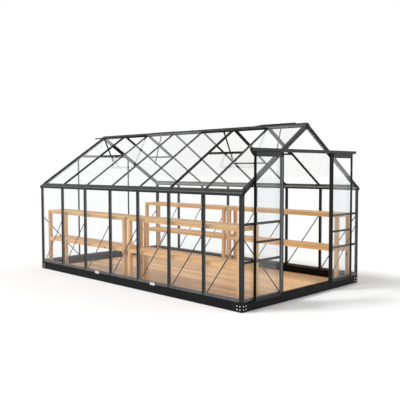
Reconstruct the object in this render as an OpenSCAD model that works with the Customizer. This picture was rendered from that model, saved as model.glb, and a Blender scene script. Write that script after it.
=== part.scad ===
// Framed polycarbonate greenhouse with a pair of sliding doors, four open roof vents,
// a boarded floor and two-tier timber staging along both long walls.
// Millimetres. X runs across the house, Y along it, Z up. The doors are at -Y.
// The origin is the centre of the footprint, at ground level.

/* [House] */
// Overall width over the base
house_w = 2520; // [2000:10:3200]
// Distance from one wall post to the next
bay_pitch = 620; // [520:5:760]
// Number of bays along the house
bay_count = 7; // [7:1:9]
// Height at which the roof plane meets the wall plane
eave_z = 1359; // [1230:1:1640]
// Height of the roof plane's ridge line
ridge_z = 2186; // [2120:1:2640]

/* [Base and floor] */
// Height of the steel base channel
base_h = 115; // [90:1:150]
// Width of the base channel's flanges
base_w = 50; // [42:1:60]
// Thickness of the base channel's metal
base_t = 3; // [2:0.5:5]
// Thickness of the floor boards
floor_t = 18; // [12:1:30]
// Gap between the floor boards and the base
floor_gap = 0.5; // [0.2:0.1:3]

/* [Glazing bars] */
// Width of a wall post or rafter
bar_w = 30; // [26:1:40]
// Width of a gable stud
stud_w = 24; // [22:1:50]
// Width of a gable rafter
verge_w = 40; // [32:1:60]
// Width of a corner post's two legs
corner_w = 44; // [44:1:60]
// Depth of the wall posts, eave beams and gable rafters, from the outer face inwards
bar_d = 36; // [30:1:41]
// Depth of the rafters and the bars between them
rafter_d = 18; // [14:1:30]
// Depth of the gables' bars and of the corner posts' legs
gable_d = 14; // [12:1:24]
// How far the gable rafters stand above the roof plane
verge_rise = 9; // [0:1:12]
// Thickness of the lip outside a glazing groove
lip_t = 3; // [2:0.5:5]
// How far a glazing groove is cut in
groove_d = 9; // [7:0.5:11]
// Height of a rail above the base
sill_h = 30; // [24:1:40]

/* [Panels] */
// Thickness of the clear sheets
sheet_t = 4; // [3:0.5:8]
// Gap between a sheet and each side of its groove
sheet_gap = 0.5; // [0.3:0.1:0.8]
// Gap between a sheet's edge and the bottom of its groove
edge_gap = 2; // [1:0.5:4]

/* [Eaves and ridge] */
// Height of the eave beam's outer face below the eave line
eave_drop = 41; // [34:1:60]
// How far the eave beam stands out from the wall
eave_out = 10; // [4:1:20]
// How far the eave beam runs past each gable
eave_over = 12; // [4:1:30]
// How far the eave beam reaches up the slope
eave_reach = 66; // [60:1:90]
// How far the ridge beam reaches down each slope
ridge_reach = 45; // [36:1:70]
// How far the ridge beam stands above the roof plane
ridge_rise = 14; // [12:1:20]
// Depth of the ridge beam below the roof plane, between the gables
ridge_d = 15; // [12:1:36]
// Thickness of the end caps
cap_t = 4; // [2:0.5:8]

/* [Gables] */
// Distance of each gable stud's centre from the middle of the house
stud_x = 540; // [500:5:640]
// Height of the lower rail beside the doors
rail_low_z = 560; // [400:5:700]
// Height of the upper rail beside the doors
rail_high_z = 995; // [850:5:1100]
// Height of the header's centre
header_z = 1846; // [1800:1:1900]
// Height of the header and of the door track
header_h = 36; // [34:1:50]

/* [Braces] */
// Width of a brace strap
brace_w = 15; // [10:1:30]
// Thickness of a brace strap
brace_t = 3; // [2:0.5:5]
// Height of a left side brace's top end
left_brace_top_z = 885; // [600:5:1000]
// Height of a right side brace's top end
right_brace_top_z = 945; // [600:5:1000]
// Height of a gable brace's top end
gable_brace_top_z = 850; // [600:5:1000]
// Distance of a side brace's foot from the post
brace_foot_in = 25; // [20:5:90]

/* [Roof vents] */
// Length of a vent sash down the slope
vent_len = 580; // [480:5:640]
// Thickness of a vent sash
vent_t = 18; // [14:1:24]
// Width of a sash's frame bars
vent_bar_w = 26; // [22:1:40]
// Opening angle of the vents on the left slope
left_vent_angle = 28; // [10:1:44]
// Opening angle of the right slope's front vent
right_front_vent_angle = 43; // [10:1:44]
// Opening angle of the right slope's back vent
right_back_vent_angle = 42; // [10:1:44]
// Length of a left stay below the cill
left_stay_tail = 120; // [60:5:190]
// Length of a right stay below the cill
right_stay_tail = 155; // [60:5:190]
// Width of a stay
stay_w = 24; // [8:1:30]
// Distance of a stay from its vent's middle, towards the nearer gable
stay_off = 60; // [0:5:200]

/* [Doors] */
// Width of one door
door_w = 528; // [490:1:560]
// Distance of the open left door's inner edge from the middle of the house
left_door_in = 535; // [505:1:585]
// Distance of the open right door's inner edge from the middle of the house
right_door_in = 510; // [505:1:585]
// Thickness of a door
door_t = 25; // [22:1:30]
// Gap between a door and the gable behind it
door_gap = 8; // [6:0.5:12]
// Width of a door's inner stile
inner_stile_w = 45; // [36:1:60]
// Width of a door's outer stile
outer_stile_w = 18; // [16:1:50]
// Height of a door's bottom rail
door_bottom_h = 34; // [30:1:70]
// Height of a door's middle rail
door_mid_h = 22; // [20:1:50]
// Height of a door's middle rail centre
door_mid_z = 782; // [600:5:1000]
// Height of a door's top rail
door_top_h = 57; // [40:1:80]
// How far the guide rail's plate lies below the top of the base
guide_drop = 23; // [16:1:40]
// Clear height between the guide rail's plate and a door
door_lift = 8; // [6:0.5:12]
// Clear height between a door and the track
door_head_gap = 6; // [5:0.5:12]
// Thickness of the track's, the guide rail's and the threshold's metal
track_t = 3; // [2:0.5:4]
// Half length of the door track
track_half = 1120; // [1080:5:1190]
// Width of the slot in the track's floor
track_slot = 12; // [11:0.5:14]
// How far the track's back edge hangs down behind the doors
track_skirt_h = 6; // [4:1:20]
// Running gap between a wheel and the track's floor
wheel_gap = 0.3; // [0.2:0.1:0.5]

/* [Staging] */
// Depth of a bench
bench_d = 338; // [280:2:420]
// Distance from the front gable to the front benches
bench_front_in = 85; // [60:5:200]
// Distance from the back gable to the back benches
bench_end_in = 105; // [60:5:200]
// Gap between the two benches on one side
bench_gap = 70; // [30:5:300]
// Distance of that gap's middle behind the middle of the house
bench_gap_y = 15; // [-200:5:200]
// Gap between a bench and the wall bars
bench_back_gap = 29; // [20:1:60]
// Height of the left benches' top
left_bench_z = 960; // [800:5:1050]
// Height of the right benches' top
right_bench_z = 1000; // [800:5:1050]
// Height of the lower shelves' top
low_shelf_z = 522; // [350:5:650]
// Thickness of a shelf board
board_t = 18; // [12:1:25]
// Number of boards on a shelf
board_count = 4; // [3:1:6]
// Gap between neighbouring boards
board_gap = 10; // [5:1:20]
// Height of the rails under the boards
bench_rail_h = 34; // [30:1:70]
// Thickness of the rails under the boards
bench_rail_t = 20; // [15:1:30]
// Side of a square bench leg
leg_w = 50; // [35:1:60]
// Gap between a notched board and a leg
notch_gap = 0.5; // [0.2:0.1:3]

/* [Hidden] */

frame_black = [0.17, 0.17, 0.17];
base_black = [0.11, 0.11, 0.11];
sill_grey = [0.33, 0.34, 0.34];
plastic_black = [0.06, 0.06, 0.06];
sheet_clear = [0.85, 0.88, 0.88, 0.25];
floor_brown = [0.72, 0.50, 0.32];
pine = [0.85, 0.66, 0.42];

half_w = house_w / 2;
half_l = bay_pitch * bay_count / 2;
// Faces of the gable studs, towards the doorway and away from it
stud_in = stud_x - stud_w / 2;
stud_out = stud_x + stud_w / 2;
roof_pitch = atan((ridge_z - eave_z) / half_w);
slope_len = half_w / cos(roof_pitch);
// Room for a sheet in its groove, and how far its edge goes in
groove_w = sheet_t + 2 * sheet_gap;
sheet_in = groove_d - edge_gap;
sheet_y = lip_t + sheet_gap;
// Underside of the eave beam, where the wall posts stop
post_top_z = eave_z - eave_drop;
sill_top_z = base_h + sill_h;
// Middle lines of the wall posts and rafters between the corners
post_ys = [for (i = [1 : bay_count - 1]) -half_l + i * bay_pitch];
// The second bay from each end has a vent on both slopes
vent_bays = [2, bay_count - 1];
vent_w = bay_pitch - bar_w + 2 * sheet_in;
vent_drop = 4;
hinge_r = 5;
hinge_gap = 0.3;
hinge_t = ridge_reach + hinge_r + hinge_gap;
hinge_rise = hinge_r + 1;
// A closed sash laps its cill by this much
cill_lap = 10;
cill_t = hinge_t + vent_len - cill_lap + bar_w / 2;
stay_t = 3;
stay_lug_h = stay_w;
stay_lug_l = 14;
cross_bar_t = 850;
cross_bar_bay = 3;
door_y = -half_l - door_gap - door_t;
guide_z = base_h - guide_drop;
door_bottom_z = guide_z + door_lift;
track_bottom_z = header_z - header_h / 2;
track_top_z = header_z + header_h / 2;
door_top_z = track_bottom_z - door_head_gap;
track_depth = door_gap + door_t + track_t;
track_skirt_t = 2.5;
door_mid_y = door_y + door_t / 2;
wheel_r = (header_h - 2 * track_t) / 2 - 5;
wheel_w = 6;
hanger_t = 4;
hanger_w = 40;
hanger_inset = 70;
fin_t = 3;
fin_h = 20;
fin_slot_w = 10;
fin_slot_d = fin_h;
bench_x = half_w - bar_d - bench_back_gap;
// Both ends of the front bench and of the back bench
bench_ends = [[-half_l + bench_front_in, bench_gap_y - bench_gap / 2],
              [bench_gap_y + bench_gap / 2, half_l - bench_end_in]];

function right_vent_angle(i) =
    i < bay_count / 2 ? right_front_vent_angle : right_back_vent_angle;
// Position of a bay's edges along the house
function bay_lo(i) = -half_l + (i - 1) * bay_pitch;
function bay_hi(i) = -half_l + i * bay_pitch;
// Solid faces that bound a bay between its bars
function clear_lo(i) = i == 1 ? -half_l + corner_w : bay_lo(i) + bar_w / 2;
function clear_hi(i) = i == bay_count ? half_l - corner_w : bay_hi(i) - bar_w / 2;
// The same on the roof, where the end bars are the gable rafters
function roof_lo(i) = i == 1 ? -half_l + verge_w : bay_lo(i) + bar_w / 2;
function roof_hi(i) = i == bay_count ? half_l - verge_w : bay_hi(i) - bar_w / 2;
// A point of the left slope's section: up the slope from the eave, and down into the roof
function eave_pt(s, d) = [-half_w + s * cos(roof_pitch) + d * sin(roof_pitch),
                          eave_z + s * sin(roof_pitch) - d * cos(roof_pitch)];
// The same, measured down the slope from the ridge
function ridge_pt(t, d) = eave_pt(slope_len - t, d);
// Height of the surface that lies a depth d below the roof plane
function roof_under(x, d) = ridge_z - abs(x) * tan(roof_pitch) - d / cos(roof_pitch);
// A point of an open left sash: down from its hinge, and up from its middle plane
function sash_pt(v, w, angle) = ridge_pt(hinge_t, -hinge_rise)
    + [-v * cos(roof_pitch - angle) - w * sin(roof_pitch - angle),
       -v * sin(roof_pitch - angle) + w * cos(roof_pitch - angle)];
function mirrored(pts) = [for (i = [len(pts) - 1 : -1 : 0]) [-pts[i][0], pts[i][1]]];

// Section of a glazing bar: outer face on y = 0, the groove for a sheet in both sides
module bar_section(w, d) {
    polygon([[-w / 2, 0], [w / 2, 0], [w / 2, lip_t], [w / 2 - groove_d, lip_t],
             [w / 2 - groove_d, lip_t + groove_w], [w / 2, lip_t + groove_w],
             [w / 2, d], [-w / 2, d], [-w / 2, lip_t + groove_w],
             [-w / 2 + groove_d, lip_t + groove_w], [-w / 2 + groove_d, lip_t],
             [-w / 2, lip_t]]);
}

// Places a section drawn in x and z, and runs it along y between two ends
module along_y(y0, y1) {
    translate([0, y1, 0]) rotate([90, 0, 0]) linear_extrude(y1 - y0) children();
}

// Stands a bar upright on the left wall, its outer face on the wall plane
module on_left_wall(y, z) {
    translate([-half_w, y, z]) rotate([0, 0, -90]) children();
}

// The left slope's own axes: -x along the house, y down into the roof, z up the slope
module on_left_slope() {
    translate([-half_w, 0, eave_z])
        rotate([0, 90 - roof_pitch, 0])
            rotate([0, 0, -90])
                children();
}

// The gable's outline, a depth d below the roof plane
module gable_outline(d) {
    polygon([[-half_w, 0], [half_w, 0], [half_w, roof_under(half_w, d)],
             [0, roof_under(0, d)], [-half_w, roof_under(half_w, d)]]);
}

// Does the same at the front and, turned round, at the back
module at_both_gables() {
    children();
    mirror([0, 1, 0]) children();
}

module at_both_sides() {
    children();
    mirror([1, 0, 0]) children();
}

// A flat strap in the x-y plane between two points
module strap(a, b, w) {
    run = b - a;
    translate(a) rotate(atan2(run[1], run[0])) translate([0, -w / 2]) square([norm(run), w]);
}

// --- Base and floor ---

// Channel that lies on its back: web on y = 0, flanges towards +y
module base_channel(web_len, flange_len) {
    translate([-web_len / 2, 0, 0]) cube([web_len, base_t, base_h]);
    for (z = [0, base_h - base_t])
        translate([-flange_len / 2, 0, z]) cube([flange_len, base_w, base_t]);
}

module base_front() {
    color(base_black)
        translate([0, -half_l, 0]) base_channel(house_w, house_w - 2 * base_t);
}

module base_back() {
    mirror([0, 1, 0]) base_front();
}

module base_left() {
    color(base_black)
        translate([-half_w, 0, 0]) rotate([0, 0, -90])
            base_channel(2 * (half_l - base_t), 2 * (half_l - base_w));
}

module base_right() {
    mirror([1, 0, 0]) base_left();
}

module floor_deck() {
    deck_x = half_w - base_w - floor_gap;
    deck_y = half_l - base_w - floor_gap;
    color(floor_brown)
        translate([-deck_x, -deck_y, 0]) cube([2 * deck_x, 2 * deck_y, floor_t]);
}

// --- Posts, sills, eaves ---

module corner_section() {
    polygon([[0, 0], [corner_w, 0], [corner_w, lip_t], [corner_w - groove_d, lip_t],
             [corner_w - groove_d, lip_t + groove_w], [corner_w, lip_t + groove_w],
             [corner_w, gable_d], [gable_d, gable_d],
             [gable_d, corner_w], [lip_t + groove_w, corner_w],
             [lip_t + groove_w, corner_w - groove_d], [lip_t, corner_w - groove_d],
             [lip_t, corner_w], [0, corner_w]]);
}

module corner_posts() {
    color(frame_black)
        at_both_gables() at_both_sides()
            translate([-half_w, -half_l, base_h])
                linear_extrude(post_top_z - base_h) corner_section();
}

module left_posts() {
    color(frame_black)
        for (y = post_ys)
            on_left_wall(y, base_h)
                linear_extrude(post_top_z - base_h) bar_section(bar_w, bar_d);
}

module right_posts() {
    mirror([1, 0, 0]) left_posts();
}

// Section of the rail above the base: outward is -x, the sheet stands in its groove
module sill_section(d) {
    slope = 2;
    polygon([[0, 0], [d, 0], [d, sill_h], [lip_t + groove_w, sill_h],
             [lip_t + groove_w, sill_h - groove_d], [lip_t, sill_h - groove_d],
             [lip_t, sill_h], [slope, sill_h]]);
}

module side_sills() {
    color(sill_grey)
        at_both_sides()
            for (i = [1 : bay_count])
                along_y(clear_lo(i), clear_hi(i))
                    translate([-half_w, base_h]) sill_section(bar_d);
}

module gable_sill(x0, x1) {
    rotate([0, 0, 90]) along_y(-x1, -x0) translate([-half_l, base_h]) sill_section(gable_d);
}

module gable_sills() {
    corner_in = half_w - corner_w;
    color(sill_grey) {
        at_both_gables() {
            gable_sill(-corner_in, -stud_out);
            gable_sill(stud_out, corner_in);
        }
        mirror([0, 1, 0]) gable_sill(-stud_in, stud_in);
    }
}

// Section of the left eave beam, with grooves for the wall sheets and the roof sheets
module eave_section() {
    bead_s = 20;
    bead_w = 6;
    bead_d = 3;
    polygon([[-half_w + bar_d, post_top_z],
             [-half_w + lip_t + groove_w, post_top_z],
             [-half_w + lip_t + groove_w, post_top_z + groove_d],
             [-half_w + lip_t, post_top_z + groove_d],
             [-half_w + lip_t, post_top_z],
             [-half_w - eave_out, post_top_z],
             [-half_w - eave_out, eave_z - eave_out * tan(roof_pitch)],
             eave_pt(bead_s, 0),
             eave_pt(bead_s, bead_d),
             eave_pt(bead_s + bead_w, bead_d),
             eave_pt(bead_s + bead_w, 0),
             eave_pt(eave_reach, 0),
             eave_pt(eave_reach, lip_t),
             eave_pt(eave_reach - groove_d, lip_t),
             eave_pt(eave_reach - groove_d, lip_t + groove_w),
             eave_pt(eave_reach, lip_t + groove_w),
             eave_pt(eave_reach, bar_d),
             [-half_w + bar_d, roof_under(half_w - bar_d, bar_d)]]);
}

module left_eave_beam() {
    color(frame_black) along_y(-half_l - eave_over, half_l + eave_over) eave_section();
}

module right_eave_beam() {
    mirror([1, 0, 0]) left_eave_beam();
}

// --- Roof bars ---

module left_rafters() {
    color(frame_black)
        on_left_slope()
            for (y = post_ys)
                translate([-y, 0, eave_reach])
                    linear_extrude(slope_len - ridge_reach - eave_reach)
                        bar_section(bar_w, rafter_d);
}

module right_rafters() {
    mirror([1, 0, 0]) left_rafters();
}

// Section of a gable rafter: outer face of the house at x = 0, the groove faces the roof
module verge_section() {
    polygon([[0, -verge_rise], [verge_w, -verge_rise], [verge_w, lip_t],
             [verge_w - groove_d, lip_t], [verge_w - groove_d, lip_t + groove_w],
             [verge_w, lip_t + groove_w], [verge_w, bar_d], [0, bar_d]]);
}

module gable_rafters() {
    color(frame_black)
        at_both_gables() at_both_sides()
            on_left_slope()
                translate([half_l, 0, eave_reach]) mirror([1, 0, 0])
                    linear_extrude(slope_len - ridge_reach - eave_reach) verge_section();
}

// Section of the ridge beam, a depth d, with a groove for the roof sheets in each side
module ridge_section(d) {
    left_side = [ridge_pt(ridge_reach, d),
                 ridge_pt(ridge_reach, lip_t + groove_w),
                 ridge_pt(ridge_reach - groove_d, lip_t + groove_w),
                 ridge_pt(ridge_reach - groove_d, lip_t),
                 ridge_pt(ridge_reach, lip_t),
                 ridge_pt(ridge_reach, -ridge_rise)];
    polygon(concat(left_side, [[0, roof_under(0, -ridge_rise)]], mirrored(left_side)));
}

// Shallow between the gables, and as deep as the gable rafters where it meets them
module ridge_beam() {
    color(frame_black)
        union() {
            along_y(-half_l, half_l) ridge_section(ridge_d);
            at_both_gables() along_y(-half_l, -half_l + verge_w) ridge_section(bar_d);
        }
}

// Outline of the ridge's end cap, flush with the ridge beam all round
module ridge_cap_outline() {
    left_side = [ridge_pt(ridge_reach, bar_d), ridge_pt(ridge_reach, -ridge_rise)];
    polygon(concat(left_side, [[0, roof_under(0, -ridge_rise)]], mirrored(left_side)));
}

module end_caps() {
    color(plastic_black) {
        at_both_gables() along_y(-half_l - cap_t, -half_l) ridge_cap_outline();
        at_both_sides()
            translate([track_half, -half_l - track_depth, track_bottom_z])
                cube([cap_t, track_depth, header_h]);
    }
}

// A bar across one bay of the left slope, its groove facing down the slope
module slope_cross_bar(i, t) {
    on_left_slope()
        translate([-roof_hi(i), 0, slope_len - t])
            rotate([0, 90, 0])
                linear_extrude(roof_hi(i) - roof_lo(i)) cross_section();
}

module cross_section() {
    polygon([[-bar_w / 2, 0], [bar_w / 2, 0], [bar_w / 2, lip_t],
             [bar_w / 2 - groove_d, lip_t], [bar_w / 2 - groove_d, lip_t + groove_w],
             [bar_w / 2, lip_t + groove_w], [bar_w / 2, rafter_d], [-bar_w / 2, rafter_d]]);
}

// A plain bar that lies just under a whole sheet, for the bay that has no vent
module under_bar(i, t) {
    on_left_slope()
        translate([-roof_hi(i), lip_t + groove_w, slope_len - t - bar_w / 2])
            cube([roof_hi(i) - roof_lo(i), rafter_d - lip_t - groove_w, bar_w]);
}

module roof_cross_bars() {
    color(frame_black) {
        at_both_sides() for (i = vent_bays) slope_cross_bar(i, cill_t);
        mirror([1, 0, 0]) under_bar(cross_bar_bay, cross_bar_t);
    }
}

// --- Gable bars ---

module gable_studs() {
    color(frame_black)
        at_both_gables() at_both_sides()
            intersection() {
                translate([-stud_x, -half_l, base_h])
                    linear_extrude(ridge_z - base_h) bar_section(stud_w, gable_d);
                along_y(-half_l, -half_l + gable_d) gable_outline(bar_d);
            }
}

// A level bar of the gable, its outer face on the gable plane
module gable_rail(x0, x1, z, h) {
    translate([x0, -half_l, z])
        rotate([0, 90, 0]) linear_extrude(x1 - x0) bar_section(h, gable_d);
}

module gable_rails() {
    color(frame_black) {
        at_both_sides()
            for (z = [rail_low_z, rail_high_z])
                gable_rail(-half_w + corner_w, -stud_out, z, bar_w);
        at_both_gables()
            intersection() {
                gable_rail(-stud_in, stud_in, header_z, header_h);
                along_y(-half_l, -half_l + gable_d) gable_outline(bar_d);
            }
    }
}

// --- Braces ---

// One strap across each bay of the left wall, from a foot at the back to a top at the front
module side_braces(top_z) {
    foot_z = sill_top_z - brace_w;
    corner_y = -half_l + gable_d + brace_w;
    for (i = [1 : bay_count]) {
        foot_y = min(bay_hi(i) - brace_foot_in, half_l - corner_w - brace_w);
        top_y = max(bay_lo(i), corner_y);
        translate([-half_w + bar_d, 0, 0])
            rotate([90, 0, 90]) linear_extrude(brace_t)
                strap([foot_y, foot_z], [top_y, top_z], brace_w);
    }
    // Stand-off between the corner post's thin leg and the end of its strap
    translate([-half_w + gable_d, corner_y, top_z])
        rotate([0, 90, 0]) cylinder(h = bar_d - gable_d, d = 0.7 * brace_w, $fn = 24);
}

module gable_brace() {
    along_y(-half_l + gable_d, -half_l + gable_d + brace_t)
        strap([-half_w + corner_w / 2, gable_brace_top_z],
              [-stud_x, sill_top_z - brace_w], brace_w);
}

module wall_braces() {
    color(frame_black) {
        side_braces(left_brace_top_z);
        mirror([1, 0, 0]) side_braces(right_brace_top_z);
        at_both_gables() at_both_sides() gable_brace();
    }
}

// --- Clear sheets ---

module left_wall_panels() {
    z0 = sill_top_z - sheet_in;
    color(sheet_clear)
        for (i = [1 : bay_count]) {
            y0 = clear_lo(i) - sheet_in;
            translate([-half_w + sheet_y, y0, z0])
                cube([sheet_t, clear_hi(i) + sheet_in - y0, post_top_z + sheet_in - z0]);
        }
}

module right_wall_panels() {
    mirror([1, 0, 0]) left_wall_panels();
}

// A sheet of the front gable between two heights, cut to the slope where it meets it
module gable_sheet(x0, x1, z0, z1) {
    along_y(-half_l + sheet_y, -half_l + sheet_y + sheet_t)
        intersection() {
            translate([x0 - sheet_in, z0 - sheet_in])
                square([x1 - x0 + 2 * sheet_in, z1 - z0 + 2 * sheet_in]);
            gable_outline(bar_d + sheet_gap);
        }
}

// The sheet above the header, stopped under the ridge beam
module peak_sheet() {
    peak_top = ridge_pt(ridge_reach, bar_d)[1] - sheet_gap - sheet_in;
    gable_sheet(-stud_in, stud_in, header_z + header_h / 2, peak_top);
}

module front_gable_panels() {
    outer_x = -half_w + corner_w;
    color(sheet_clear) {
        at_both_sides() {
            gable_sheet(outer_x, -stud_out, sill_top_z, rail_low_z - bar_w / 2);
            gable_sheet(outer_x, -stud_out, rail_low_z + bar_w / 2, rail_high_z - bar_w / 2);
            gable_sheet(outer_x, -stud_out, rail_high_z + bar_w / 2, ridge_z);
        }
        peak_sheet();
    }
}

module back_gable_panels() {
    color(sheet_clear)
        mirror([0, 1, 0]) {
            at_both_sides()
                gable_sheet(-half_w + corner_w, -stud_out, sill_top_z, ridge_z);
            gable_sheet(-stud_in, stud_in, sill_top_z, header_z - header_h / 2);
            peak_sheet();
        }
}

module left_roof_panels() {
    color(sheet_clear)
        on_left_slope()
            for (i = [1 : bay_count]) {
                has_vent = len([for (v = vent_bays) if (v == i) v]) > 0;
                top_t = has_vent ? cill_t + bar_w / 2 : ridge_reach;
                s0 = eave_reach - sheet_in;
                x0 = -roof_hi(i) - sheet_in;
                translate([x0, sheet_y, s0])
                    cube([-roof_lo(i) + sheet_in - x0, sheet_t,
                          slope_len - top_t + sheet_in - s0]);
            }
}

module right_roof_panels() {
    mirror([1, 0, 0]) left_roof_panels();
}

// --- Roof vents ---

// Axes of an open sash of the left slope: x across it, y down from its hinge, z up from it
module on_left_sash(i, angle) {
    pivot = ridge_pt(hinge_t, -hinge_rise);
    translate([pivot[0], (bay_lo(i) + bay_hi(i)) / 2, pivot[1]])
        rotate([0, angle - roof_pitch, 0])
            rotate([0, 0, 90])
                children();
}

module vent_frame() {
    translate([-vent_w / 2, hinge_r, -vent_drop])
        difference() {
            cube([vent_w, vent_len - hinge_r, vent_t]);
            translate([vent_bar_w, vent_bar_w, -1])
                cube([vent_w - 2 * vent_bar_w, vent_len - hinge_r - 2 * vent_bar_w,
                      vent_t + 2]);
            translate([vent_bar_w - groove_d, vent_bar_w - groove_d,
                       (vent_t - groove_w) / 2])
                cube([vent_w - 2 * (vent_bar_w - groove_d),
                      vent_len - hinge_r - 2 * (vent_bar_w - groove_d), groove_w]);
        }
    rotate([0, 90, 0]) cylinder(h = vent_w, r = hinge_r, center = true, $fn = 32);
    translate([-vent_w / 2, 0, -vent_drop]) cube([vent_w, hinge_r, hinge_r]);
}

module vent_pane() {
    edge = vent_bar_w - sheet_in;
    translate([-vent_w / 2 + edge, hinge_r + edge, -vent_drop + (vent_t - sheet_t) / 2])
        cube([vent_w - 2 * edge, vent_len - hinge_r - 2 * edge, sheet_t]);
}

module left_vent_frames() {
    color(frame_black) for (i = vent_bays) on_left_sash(i, left_vent_angle) vent_frame();
}

module right_vent_frames() {
    color(frame_black)
        mirror([1, 0, 0])
            for (i = vent_bays) on_left_sash(i, right_vent_angle(i)) vent_frame();
}

module vent_panes() {
    color(sheet_clear)
        for (i = vent_bays) {
            on_left_sash(i, left_vent_angle) vent_pane();
            mirror([1, 0, 0]) on_left_sash(i, right_vent_angle(i)) vent_pane();
        }
}

// A lug under the sash's bottom rail and a flat bar past the cill
module vent_stay(i, angle, tail) {
    lug_v = vent_len - vent_bar_w / 2;
    mid_y = (bay_lo(i) + bay_hi(i)) / 2;
    off = mid_y < 0 ? -stay_off : stay_off;
    top = sash_pt(lug_v, -vent_drop - stay_lug_h / 2, angle);
    past_cill = ridge_pt(cill_t - bar_w / 2 - stay_w, rafter_d / 2);
    run = past_cill - top;
    end = past_cill + run / norm(run) * tail;
    on_left_sash(i, angle)
        translate([off - stay_w / 2, lug_v - stay_lug_l / 2, -vent_drop - stay_lug_h])
            cube([stay_w, stay_lug_l, stay_lug_h]);
    along_y(mid_y + off - stay_t / 2, mid_y + off + stay_t / 2) strap(top, end, stay_w);
}

module vent_stays() {
    color(plastic_black)
        for (i = vent_bays) {
            vent_stay(i, left_vent_angle, left_stay_tail);
            mirror([1, 0, 0]) vent_stay(i, right_vent_angle(i), right_stay_tail);
        }
}

// --- Door track and threshold ---

module door_track() {
    y_out = -half_l - track_depth;
    slot_y = door_mid_y - track_slot / 2;
    in_y = y_out + track_t;
    in_y1 = -half_l - track_t;
    color(frame_black)
        translate([-track_half, 0, 0]) rotate([90, 0, 90])
            linear_extrude(2 * track_half)
                polygon([[slot_y, track_bottom_z], [slot_y, track_bottom_z + track_t],
                         [in_y, track_bottom_z + track_t], [in_y, track_top_z - track_t],
                         [in_y1, track_top_z - track_t], [in_y1, track_bottom_z + track_t],
                         [slot_y + track_slot, track_bottom_z + track_t],
                         [slot_y + track_slot, track_bottom_z],
                         [-half_l - track_skirt_t, track_bottom_z],
                         [-half_l - track_skirt_t, track_bottom_z - track_skirt_h],
                         [-half_l, track_bottom_z - track_skirt_h],
                         [-half_l, track_top_z],
                         [y_out, track_top_z], [y_out, track_bottom_z]]);
}

// A rail on the base's face that carries the doors' guide fin, and the doorway's cover plate
module door_threshold() {
    leg_h = 30;
    plate_z = guide_z - track_t;
    fin_y = door_mid_y - fin_t / 2;
    color(base_black) {
        translate([-track_half, 0, 0]) rotate([90, 0, 90])
            linear_extrude(2 * track_half)
                polygon([[-half_l, guide_z - leg_h], [-half_l, guide_z],
                         [fin_y + fin_t, guide_z], [fin_y + fin_t, guide_z + fin_h],
                         [fin_y, guide_z + fin_h], [fin_y, guide_z],
                         [door_y, guide_z], [door_y, plate_z],
                         [-half_l - track_t, plate_z], [-half_l - track_t, guide_z - leg_h]]);
        translate([-stud_in, -half_l, base_h]) cube([2 * stud_in, bar_d, track_t]);
    }
}

// --- Doors ---

// Places a door, drawn with its inner edge at x = 0, where it stands when it is open
module at_left_door() {
    translate([-left_door_in, 0, 0]) children();
}

module at_right_door() {
    mirror([1, 0, 0]) translate([-right_door_in, 0, 0]) children();
}

// A door's front outline, drawn in x and z
module door_outline() {
    translate([-door_w, door_bottom_z]) square([door_w, door_top_z - door_bottom_z]);
}

// The two openings of a door's frame, grown by a margin on all sides
module door_lights(margin) {
    x0 = -door_w + outer_stile_w - margin;
    x1 = -inner_stile_w + margin;
    low_z = door_bottom_z + door_bottom_h;
    mid_low_z = door_mid_z - door_mid_h / 2;
    mid_high_z = door_mid_z + door_mid_h / 2;
    high_z = door_top_z - door_top_h;
    translate([x0, low_z - margin]) square([x1 - x0, mid_low_z - low_z + 2 * margin]);
    translate([x0, mid_high_z - margin]) square([x1 - x0, high_z - mid_high_z + 2 * margin]);
}

module door_frame() {
    color(frame_black)
        difference() {
            along_y(door_y, door_y + door_t) door_outline();
            along_y(door_y - 1, door_y + door_t + 1) door_lights(0);
            along_y(door_mid_y - groove_w / 2, door_mid_y + groove_w / 2)
                door_lights(groove_d);
            translate([-door_w - 1, door_mid_y - fin_slot_w / 2, 0])
                cube([door_w + 2, fin_slot_w, door_bottom_z + fin_slot_d]);
        }
}

module door_panes() {
    color(sheet_clear)
        along_y(door_mid_y - sheet_t / 2, door_mid_y + sheet_t / 2)
            door_lights(sheet_in);
}

// Two hangers: a plate through the track's slot with a wheel on each side of it
module door_rollers() {
    plate_top_z = track_top_z - track_t - 5;
    wheel_z = track_bottom_z + track_t + wheel_gap + wheel_r;
    color(plastic_black)
        for (x = [-hanger_inset, -door_w + hanger_inset]) {
            translate([x - hanger_w / 2, door_mid_y - hanger_t / 2, door_top_z])
                cube([hanger_w, hanger_t, plate_top_z - door_top_z]);
            translate([x, door_mid_y, wheel_z]) rotate([90, 0, 0])
                cylinder(h = hanger_t + 2 * wheel_w + 1, r = wheel_r, center = true, $fn = 48);
        }
}

module left_door_frame() {
    at_left_door() door_frame();
}

module left_door_panes() {
    at_left_door() door_panes();
}

module left_door_rollers() {
    at_left_door() door_rollers();
}

module right_door_frame() {
    at_right_door() door_frame();
}

module right_door_panes() {
    at_right_door() door_panes();
}

module right_door_rollers() {
    at_right_door() door_rollers();
}

// --- Staging ---

// Legs at a left bench's corners, flush with its boards' ends and edges
module bench_legs(y0, y1, top_z, extra) {
    for (x = [-bench_x, -bench_x + bench_d - leg_w])
        for (y = [y0, y1 - leg_w])
            translate([x - extra, y - extra, floor_t])
                cube([leg_w + 2 * extra, leg_w + 2 * extra, top_z - board_t - floor_t]);
}

// Rails between the legs, under the boards
module bench_rails(y0, y1, top_z) {
    z = top_z - board_t - bench_rail_h;
    for (x = [-bench_x, -bench_x + bench_d - bench_rail_t])
        translate([x, y0 + leg_w, z])
            cube([bench_rail_t, y1 - y0 - 2 * leg_w, bench_rail_h]);
    for (y = [y0, y1 - bench_rail_t])
        translate([-bench_x + leg_w, y, z])
            cube([bench_d - 2 * leg_w, bench_rail_t, bench_rail_h]);
}

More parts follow.
